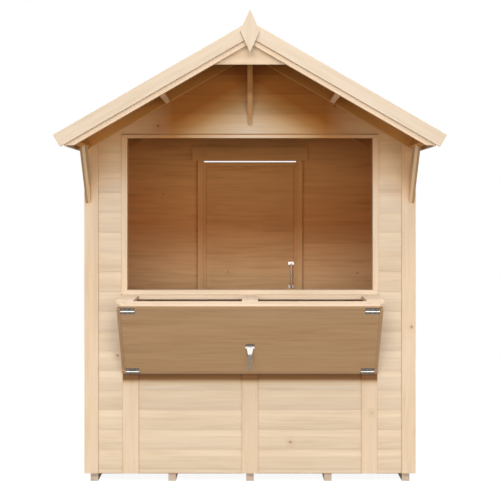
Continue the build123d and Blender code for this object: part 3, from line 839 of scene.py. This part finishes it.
class STALL_OT_leaves(bpy.types.Operator):
    """Boards of the counter and of the sloping panel under it"""
    bl_idname = "stall.leaves"
    bl_label = "Counter and panel boards"

    def execute(self, context):
        sizes, finish = chosen(context)
        chance = random.Random(sizes.seed + 5)
        low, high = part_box("counter_boards")
        rows, play = 2, 0.0008
        pitch = (high.y - low.y) / rows
        # the counter boards carry a painted shadow by the wall
        boards = stored(board_wood, "counter boards", finish.counter, finish.knot, pitch,
                        fall=0.0, spread=0.03,
                        tints=[fade_tint(Tree.depth, *TRAY_FADE, WHITE, TRAY_SHADOW)])
        counter = lay_boards(chance, flat_board(pitch, high.z - low.z, play), low,
                             EAST, NORTH, UP, high.x - low.x, pitch, rows)
        new_piece("counter_planks", counter, boards, "stall", nodes=("counter_boards",))
        foot, up, inward, height = panel_plane()
        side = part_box("support_boards")[HIGH].x
        rows, play = 4, 0.0004
        pitch = height / rows
        # the panel's darker colour is painted shade
        boards = stored(board_wood, "panel boards", finish.panel, finish.knot, pitch, fall=0.0,
                        spread=0.03, strength=1.6)
        panel = lay_boards(chance, flat_board(pitch, CLADDING, play), foot - EAST * side,
                           EAST, up, inward, side * 2, pitch, rows)
        new_piece("support_planks", panel, boards, "stall", nodes=("support_boards",))
        return {"FINISHED"}


class STALL_OT_door(bpy.types.Operator):
    """Weatherboards on the rear door, in line with the wall's"""
    bl_idname = "stall.door"
    bl_label = "Door boards"

    def execute(self, context):
        sizes, finish = chosen(context)
        chance = random.Random(sizes.seed + 9)
        low, high = DOOR
        door = clad_wall(sizes, chance, NORTH * low.y, EAST, NORTH, (low.x, high.x), low.z, high.z)
        new_piece("door_cladding", door, wall_finishes(sizes, finish), "door",
                  nodes=("door_boards",))
        return {"FINISHED"}


class STALL_OT_decks(bpy.types.Operator):
    """Floor boards, roof boards and the felt strips over them"""
    bl_idname = "stall.decks"
    bl_label = "Floor, roof and felt"

    def execute(self, context):
        sizes, finish = chosen(context)
        chance = random.Random(sizes.seed + 17)
        planks = stored(board_wood, "floor boards", finish.framing, finish.knot, sizes.deck_pitch,
                        fall=0.03)
        deck = stored(board_wood, "roof boards", finish.shaded_roof_deck, finish.knot, sizes.deck_pitch,
                      fall=0.03, tints=[eaves_shade_tint()])
        cover = stored(felt_finish, "mineral felt", finish.felt)
        low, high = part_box("floor")
        rows = round((high.y - low.y) / sizes.deck_pitch)
        pitch = (high.y - low.y) / rows
        floor = lay_boards(chance, flat_board(pitch, high.z - low.z), low,
                           EAST, NORTH, UP, high.x - low.x, pitch, rows)
        new_piece("floor_planks", floor, planks, "stall", nodes=("floor",))
        low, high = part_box("roof_boards")
        eaves = slope_length(high.x, DECK_TOP)
        rows = round(eaves / sizes.deck_pitch)
        pitch = eaves / rows
        roof = bmesh.new()
        for side in SIDES:
            down, off = slope(side)
            for row in range(rows):
                over = RIDGE_BOARDS_MEET if row == 0 else 0.0
                origin = Vector((0, low.y, APEX)) + off * RAFTER_DEPTH + down * (pitch * row - over)
                lay_board(roof, flat_board(pitch + over, ROOF_BOARD), origin, NORTH, down, off,
                          high.y - low.y, pitch + over, *pick_grain(chance),
                          cuts=ridge_cut(side, 0.00025))
        new_piece("roof_planks", roof, deck, "stall", nodes=("roof_boards",))
        low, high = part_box("roof_felt")
        felt = bmesh.new()
        for side in SIDES:
            down, off = slope(side)
            for outline in felt_strips(eaves):
                lay_board(felt, outline, Vector((0, low.y, APEX)), NORTH, down, off,
                          high.y - low.y, 1.2, 0, 0, cuts=ridge_cut(side, 0.00002))
        new_piece("felt_strips", felt, cover, "stall", nodes=("roof_felt",))
        return {"FINISHED"}


def felt_strips(eaves):
    """Outlines of the lower strip, the upper one that laps over it, and the ridge's capping."""
    head, lap, capping, play = 0.50, 0.58, 0.14, 0.0001
    over, lapped, cap_top = FELT_TOP + play, FELT_TOP + FELT, FELT_TOP + 1.1 * FELT
    return [
        [(DECK_TOP, head), (FELT_TOP, head), (FELT_TOP, eaves), (DECK_TOP, eaves)],
        [(DECK_TOP, -FELT_TURNOVER), (FELT_TOP, -FELT_TURNOVER), (FELT_TOP, head - 0.015),
         (lapped, head + 0.005), (lapped, lap), (over, lap), (over, head - 0.005),
         (DECK_TOP, head - 0.01)],
        [(FELT_TOP, -FELT_TURNOVER), (cap_top, -FELT_TURNOVER), (cap_top, capping),
         (FELT_TOP, capping)]]


STILE_EDGE, MIDDLE_RAIL, DOOR_STILE = 0.611, 0.042, 0.287     # places across the leaf frames
BATTEN_SHADE = (0.74, 0.63, 0.48)
SILL_SHADE = (0.95, 1.0, 1.06)


def timber_kinds(finish):
    """Name, tone, turn, tints and other details of each kind of timber, and its nodes."""
    trim, pale, brace, panel = finish.trim, finish.gable_trim, finish.brace, finish.panel
    roof, inside, counter = finish.shaded_roof_framing, finish.inside, finish.counter
    porch, inner, eaves = porch_shade_tint(finish.porch_shade), inner_shade_tint(finish.inside_shade), eaves_shade_tint()
    rafters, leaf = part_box("rafters"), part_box("counter_frame")
    return (
        ("trim along", trim, ALONG, [porch], {}, ("opening_head",)),
        ("sill", times(trim, SILL_SHADE), ALONG, [
            # painted shade along the sill's foot, where the counter meets it
            fade_tint(Tree.height, leaf[HIGH].z + 0.004, 0.004, (0.76, 0.76, 0.76), WHITE)],
         {}, ("opening_sill",)),
        ("trim upright", trim, UPRIGHT, [porch], {},
         ("corner_trims", "front_battens", "opening_jambs")),
        ("gable batten", times(trim, BATTEN_SHADE), UPRIGHT, [porch], {}, ("gable_batten",)),
        ("gable trim along", trim, ALONG, [], {}, ("apex_plate",)),
        ("gable trim upright", pale, UPRIGHT, [], {}, ("finial",)),
        ("trim fore and aft", trim, FORE_AND_AFT, [], {}, ("eaves_fascias",)),
        ("trim down the slope", pale, DOWN_THE_SLOPE, [], {"mirrored": True}, ("bargeboards",)),
        ("brace", brace, UP_THE_BRACE, [
            # painted light and shade: a pale strip by the inner side, the rest of the face darker
            fade_tint(Tree.reach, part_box("corner_braces")[HIGH].x - 0.012, 0.00001,
                      (1.16, 1.18, 1.18), (0.72, 0.62, 0.52))], {}, ("corner_braces",)),
        ("shaded brace", shade(brace, 0.8), UP_THE_BRACE, [
            # painted light on the lower tip, painted shade above it
            fade_tint(Tree.height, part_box("centre_brace")[LOW].z + 0.088, 0.03,
                      (1.22, 0.93, 0.68), (0.79, 0.50, 0.27))], {}, ("centre_brace",)),
        # the panel's colour, and darker still on the foot rail: painted shade under the counter
        ("panel rail", panel, ALONG, [], {}, ("hinge_rail",)),
        ("foot rail", shade(panel, 0.85), ALONG, [], {}, ("foot_rail",)),
        # inside colour and inner tint: painted shade of the stall's inside
        ("inner along", inside, ALONG, [inner], {}, ("door_head",)),
        ("inner upright", inside, UPRIGHT, [inner], {},
         ("front_posts", "side_wall_studs", "door_posts", "door_stops")),
        ("bearer", finish.bearer, FORE_AND_AFT, [], {}, ("floor_bearers",)),
        ("framing fore and aft", roof, FORE_AND_AFT, [eaves], {}, ("ridge_board", "eaves_rails")),
        # painted light on the purlins' front ends, out of the porch shade
        ("purlin", roof, FORE_AND_AFT, [
            eaves, end_tint(roof, (0.92, 0.62, 0.36), FRONT_WALL[LOW].y)], {}, ("purlins",)),
        # painted light on the front and rear rafters, out of the shade
        ("framing down the slope", roof, DOWN_THE_SLOPE, [
            eaves_shade_tint(lit_underside=True),
            end_tint(roof, (0.86, 0.66, 0.47), rafters[LOW].y + 0.03, rafters[HIGH].y - 0.02)],
         {"mirrored": True}, ("rafters",)),
        # painted highlight on the uprights' tops; the front faces a little darker
        ("counter frame", counter, ALONG, [
            end_tint(counter, shade(counter, 0.93), leaf[LOW].y + 0.002)],
         {"rails": (STILE_EDGE, MIDDLE_RAIL, FORE_AND_AFT, (1.08, 1.15, 1.2))},
         ("counter_frame",)),
        ("panel frame", panel, ALONG, [], {"rails": (STILE_EDGE, MIDDLE_RAIL, UPRIGHT)},
         ("support_frame",)),
        ("door frame", inside, ALONG, [inner], {"rails": (DOOR_STILE, 0.0, UPRIGHT)},
         ("door_frame",)),
    )


class STALL_OT_timbers(bpy.types.Operator):
    """Finish and eased edges on the trims, framing, braces and leaf frames"""
    bl_idname = "stall.timbers"
    bl_label = "Trims and framing"

    def execute(self, context):
        sizes, finish = chosen(context)
        for name, tone, turn, tints, details, nodes in timber_kinds(finish):
            material = wood(name, tone, finish.knot, turn, tints, **details)
            for node in nodes:
                dress(node, material, sizes.arris)
        return {"FINISHED"}


BARREL_EDGE, BARREL_FADE = 0.0026, 600.0
HASP_PLATE, HASP_ROLL, HASP_FADE = 0.062, 0.012, 80.0      # from the hasp's top


class STALL_OT_metalwork(bpy.types.Operator):
    """Zinc finish on the hinges, hasp and handles"""
    bl_idname = "stall.metalwork"
    bl_label = "Metalwork"

    def execute(self, context):
        _, finish = chosen(context)
        foot, _, inward, _ = panel_plane()
        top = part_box("hasp")[HIGH].z

        def knuckles(tree):
            """The hinges' barrels, which stand out from their leaves and carry a painted highlight.
            """
            proud = tree.add("VectorMath", {0: tree.place(), 1: -inward},
                               operation="DOT_PRODUCT").outputs["Value"]
            return tree.line(proud, BARREL_FADE, (foot.dot(inward) - BARREL_EDGE) * BARREL_FADE)

        def plate(tree):
            """The hasp's plate, between its rolled top and its strap, which carries a painted
            highlight.
            """
            height = tree.height()
            return tree.math(
                "MULTIPLY", tree.line(height, HASP_FADE, (HASP_PLATE - top) * HASP_FADE),
                tree.math("LESS_THAN", height, top - HASP_ROLL))

        zinc = stored(steel_finish, "bright zinc", finish.steel)
        polished = stored(steel_finish, "polished zinc", shade(finish.steel, 2.0))
        # painted shade: the hinges' and hasp's zinc is darkened to stand in for the dark reflection
        # of their surroundings
        dimmed_zinc = shade(finish.steel, 0.42)
        dress("counter_hinges", stored(steel_finish, "rubbed hinges", dimmed_zinc, knuckles))
        dress("hasp", stored(steel_finish, "rubbed hasp", dimmed_zinc, plate))
        dress("door_hinge_plates", zinc)
        dress("door_hinge_leaves", zinc)
        dress("door_handles", polished)
        return {"FINISHED"}


# --- where the fixings are, in metres ------------------------------------
NAIL_ABOVE_LAP, NAIL_ROWS = 0.026, 16
FRONT_STUD, DOOR_STUD = 0.727, 0.337        # studs beside the serving opening and the door
SIDE_STUDS = (-0.536, 0.0, 0.536)
TRIM_NAILS = (-0.889, -0.851, 0.851, 0.889)
TRIM_ROWS = [0.12 + 0.34 * step for step in range(6)]
BATTEN_NAILS = [x + shift for x in (-0.659, 0.0, 0.659) for shift in (-0.026, 0.026)]
BATTEN_ROWS = (0.11, 0.36, 0.61)
BARGE_NAILS = (0.042, 0.062)                # off the rafters' underside
BARGE_ROWS = [0.13 + 0.29 * step for step in range(4)]      # down the slope
DOOR_NAILS, DOOR_MARGIN = 0.27, 0.01
FELT_EDGE, FELT_INSET = 0.02, 0.05
EAVES_SPACES, GABLE_SPACES = 16, 9          # between the clouts of a row
LAP_CLOUTS, CAP_CLOUTS = (0.555, FELT), (0.12, 0.0015)      # down the slope, over the felt
HINGE_WIDTH, HINGE_SCREWS = 0.0125, 0.025
HINGE_ROW, HINGE_LEAF = 0.0132, 0.0016      # from the pin to a row of screws, and thickness
HASP_HEIGHT, HASP_LEAF, HASP_SCREWS = 0.195, 0.0025, (-0.017, 0.0, 0.017)
DOOR_HINGE_HALF, DOOR_LEAF = 0.0375, 0.002
PLATE_SCREWS, LEAF_SCREWS = (-0.025, 0.0, 0.025), (-0.0065, 0.0065)
HANDLE_SCREW, HANDLE_LEAF = 0.005, 0.003


def lap_heights(sizes):
    """Heights of the nails, a little over the laps."""
    first = WALL_BOTTOM + sizes.first_lap + NAIL_ABOVE_LAP
    return [first + sizes.board_pitch * row for row in range(NAIL_ROWS)]


def wall_nails(sizes):
    """Nails through the walls' boards, the trims, the front battens and the bargeboards."""
    for height in lap_heights(sizes):
        for side in SIDES:
            yield Vector((side * FRONT_STUD, FRONT_WALL[LOW].y, height)), -NORTH
            yield Vector((side * DOOR_STUD, BACK_WALL[HIGH].y, height)), NORTH
            for y in SIDE_STUDS:
                yield Vector((side * SIDE_WALL[HIGH].x, y, height)), EAST * side
    for height in TRIM_ROWS:
        for x in TRIM_NAILS:
            yield Vector((x, TRIM_FACE, height)), -NORTH
            yield Vector((x, -TRIM_FACE, height)), NORTH
    for height in BATTEN_ROWS:
        for x in BATTEN_NAILS:
            yield Vector((x, TRIM_FACE, height)), -NORTH
    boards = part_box("bargeboards")
    for side in SIDES:
        down, off = slope(side)
        for row in BARGE_ROWS:
            for lift in BARGE_NAILS:
                spot = UP * APEX + down * row + off * lift
                yield spot + NORTH * boards[LOW].y, -NORTH
                yield spot + NORTH * boards[HIGH].y, NORTH


def door_nails(sizes):
    """Nails through the door's boards into its stiles."""
    for height in lap_heights(sizes):
        if DOOR[LOW].z + DOOR_MARGIN < height < DOOR[HIGH].z - DOOR_MARGIN:
            for side in SIDES:
                yield Vector((side * DOOR_NAILS, DOOR[HIGH].y, height)), NORTH


def felt_clouts():
    """Clouts along the felt's lower edges, its laps, its capping and its ends."""
    low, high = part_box("roof_felt")
    gap = (high.y - low.y - 2 * FELT_INSET) / EAVES_SPACES
    for side in SIDES:
        down, off = slope(side)
        edge = slope_length(high.x, FELT_TOP) - FELT_EDGE
        rows = ((edge, 0.0), LAP_CLOUTS, CAP_CLOUTS)
        spots = [(low.y + FELT_INSET + gap * step, along, lift)
                 for step in range(EAVES_SPACES + 1) for along, lift in rows]
        spots += [(y, edge * step / GABLE_SPACES, 0.0) for step in range(1, GABLE_SPACES)
                  for y in (low.y + FELT_EDGE, high.y - FELT_EDGE)]
        for y, along, lift in spots:
            yield UP * APEX + NORTH * y + down * along + off * (FELT_TOP + lift), off


def door_hinge_heights():
    """The middles of the door's three hinges."""
    low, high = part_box("door_hinge_plates")
    return low.z + DOOR_HINGE_HALF, (low.z + high.z) / 2, high.z - DOOR_HINGE_HALF


def hinge_screws(size):
    """Screws in the counter's four hinges, in the hasp and in the door's hinge plates."""
    foot, up, inward, _ = panel_plane()
    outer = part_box("counter_hinges")[HIGH].x - HINGE_WIDTH
    joint = (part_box("hinge_rail")[LOW].z - foot.z) / up.z
    for place in (0.0, joint):
        for way in (-HINGE_ROW, HINGE_ROW):
            for step in range(6):
                spot = foot + up * (place + way) - inward * HINGE_LEAF
                spot.x = (outer - step % 3 * HINGE_SCREWS) * (1 if step < 3 else -1)
                yield spot, -inward, size, 0.4 + step * 0.7
    for x in HASP_SCREWS:
        yield foot + up * HASP_HEIGHT - inward * HASP_LEAF + EAST * x, -inward, size, x * 40
    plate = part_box("door_hinge_plates")[LOW].x + 0.009
    for height in door_hinge_heights():
        for shift in PLATE_SCREWS:
            spot = Vector((plate, BACK_WALL[HIGH].y + DOOR_LEAF, height + shift))
            yield spot, NORTH, size, shift * 30


def door_screws(size):
    """Screws in the door's hinge leaves and in its two handles."""
    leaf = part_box("door_hinge_leaves")[HIGH].x - 0.007
    for height in door_hinge_heights():
        for shift in LEAF_SCREWS:
            spot = Vector((leaf, DOOR[HIGH].y + DOOR_LEAF, height + shift))
            yield spot, NORTH, size * 0.9, shift * 90
    low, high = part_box("door_handles")
    for x in (low.x + 0.005, high.x - 0.005):
        for z in (low.z + 0.0085, high.z - 0.0085):
            yield Vector((x, DOOR[LOW].y - HANDLE_LEAF, z)), -NORTH, HANDLE_SCREW, x + z
            yield Vector((x, DOOR[HIGH].y + HANDLE_LEAF, z)), NORTH, HANDLE_SCREW, x + z


class STALL_OT_fixings(bpy.types.Operator):
    """Nails in the boards, clouts in the felt and screws in the metalwork"""
    bl_idname = "stall.fixings"
    bl_label = "Nails and screws"

    def execute(self, context):
        sizes, finish = chosen(context)
        zinc = stored(steel_finish, "bright zinc", finish.steel)
        wire = stored(steel_finish, "wire nails", finish.nails)
        for name, heads, material, body in (
                ("wall_nails", nail_heads(wall_nails(sizes), sizes.nail), wire, "stall"),
                ("door_nails", nail_heads(door_nails(sizes), sizes.nail), wire, "door"),
                ("felt_clouts", nail_heads(felt_clouts(), sizes.clout), zinc, "stall"),
                ("hinge_screws", screw_heads(hinge_screws(sizes.screw)), zinc, "stall"),
                ("door_screws", screw_heads(door_screws(sizes.screw)), zinc, "door")):
            new_piece(name, heads, material, body)
        return {"FINISHED"}


LAMPS = (     # name, place, what it faces, size and power
    ("front_light", (-0.8, -12.66, 8.3), (0, -0.6, 1.2), (11.0, 2.7), 790.0),
    ("low_light", (0.8, -13.0, 2.2), (0, -0.6, 1.2), (14.0, 3.0), 640.0),
    ("top_light", (0, -3.6, 10.0), (0, -0.8, 1.0), (7.0, 7.0), 760.0),
    ("back_light", (0, 13.0, 6.5), (0, 0.6, 1.2), (10.0, 4.0), 900.0),
)


GROUND = 4.5                                # half the pale floor's side
GROUND_GREYS, GROUND_GLOW = (0.29, 0.2), 0.92      # as a light meets it, and as it is seen
SKY = (0.27, 1.0)                           # what lights the stall, and what is seen


def area_lamp(name, place, target, size, power):
    lamp = bpy.data.lights.new(name, "AREA")
    lamp.shape = "RECTANGLE"
    lamp.size, lamp.size_y = size
    lamp.energy = power
    piece = linked(name, lamp)
    piece.location = place
    piece.rotation_euler = (Vector(target) - Vector(place)).to_track_quat("-Z", "Y").to_euler()


class STALL_OT_stage(bpy.types.Operator):
    """Pale floor, soft studio light and the camera"""
    bl_idname = "stall.stage"
    bl_label = "Stage"

    def execute(self, context):
        scene = context.scene
        ground = bmesh.new()
        bmesh.ops.create_grid(ground, x_segments=1, y_segments=1, size=GROUND)
        sheet = sheet_of(ground, "pale_floor")
        tree = material_tree("pale floor")
        matt, thin = (
            tree.add("BsdfDiffuse", {"Color": (grey, grey, grey)}).outputs[0]
            for grey in GROUND_GREYS)
        white = tree.add("Emission", {"Color": WHITE, "Strength": GROUND_GLOW}).outputs[0]
        pale = tree.add("AddShader", {0: white, 1: thin}).outputs[0]
        sheet.materials.append(tree.finish(tree.add(
            "MixShader", {0: tree.seen(), 1: matt, 2: pale}).outputs[0]))
        floor = linked("pale_floor", sheet)
        scene.world = bpy.data.worlds.new("studio")
        tree = Tree(scene.world)
        lit, white = (
            tree.add("Background", {"Color": WHITE, "Strength": strength}).outputs[0]
            for strength in SKY)
        tree.finish(tree.add(
            "MixShader", {0: tree.seen(), 1: lit, 2: white}).outputs[0], "OutputWorld")
        for lamp in LAMPS:
            area_lamp(*lamp)
        lens = bpy.data.cameras.new("front_camera")
        lens.lens = 85
        lens.sensor_width = 36
        lens.shift_y = -0.09
        camera = linked("front_camera", lens)
        camera.location = (0, -7.13, 1.532)
        camera.rotation_euler = (math.pi / 2, 0, 0)
        scene.camera = camera
        scene.view_settings.view_transform = "Standard"
        return {"FINISHED"}


class STALL_PT_panel(bpy.types.Panel):
    """Sizes, finishes and the steps that dress the stall"""
    bl_idname = "STALL_PT_panel"
    bl_label = "Market stall"
    bl_space_type = "VIEW_3D"
    bl_region_type = "UI"
    bl_category = "Stall"

    def draw(self, context):
        layout = self.layout
        for group in (context.scene.stall_sizes, context.scene.stall_finish):
            box = layout.box()
            for key in group.__annotations__:
                box.prop(group, key)
        for step in STEPS:
            layout.operator(step.bl_idname)


STEPS = (
    STALL_OT_stage, STALL_OT_walls, STALL_OT_leaves, STALL_OT_door, STALL_OT_decks,
    STALL_OT_timbers, STALL_OT_metalwork, STALL_OT_fixings,
)
CLASSES = (StallSizes, StallFinish, *STEPS, STALL_PT_panel)


def register():
    for kind in CLASSES:
        bpy.utils.register_class(kind)
    bpy.types.Scene.stall_sizes = PointerProperty(type=StallSizes)
    bpy.types.Scene.stall_finish = PointerProperty(type=StallFinish)


def unregister():
    del bpy.types.Scene.stall_finish
    del bpy.types.Scene.stall_sizes
    for kind in reversed(CLASSES):
        bpy.utils.unregister_class(kind)


def main():
    register()
    bpy.ops.stall.stage()
    bpy.ops.stall.walls()
    bpy.ops.stall.leaves()
    bpy.ops.stall.door()
    bpy.ops.stall.decks()
    bpy.ops.stall.timbers()
    bpy.ops.stall.metalwork()
    bpy.ops.stall.fixings()


if __name__ == "__main__":
    main()
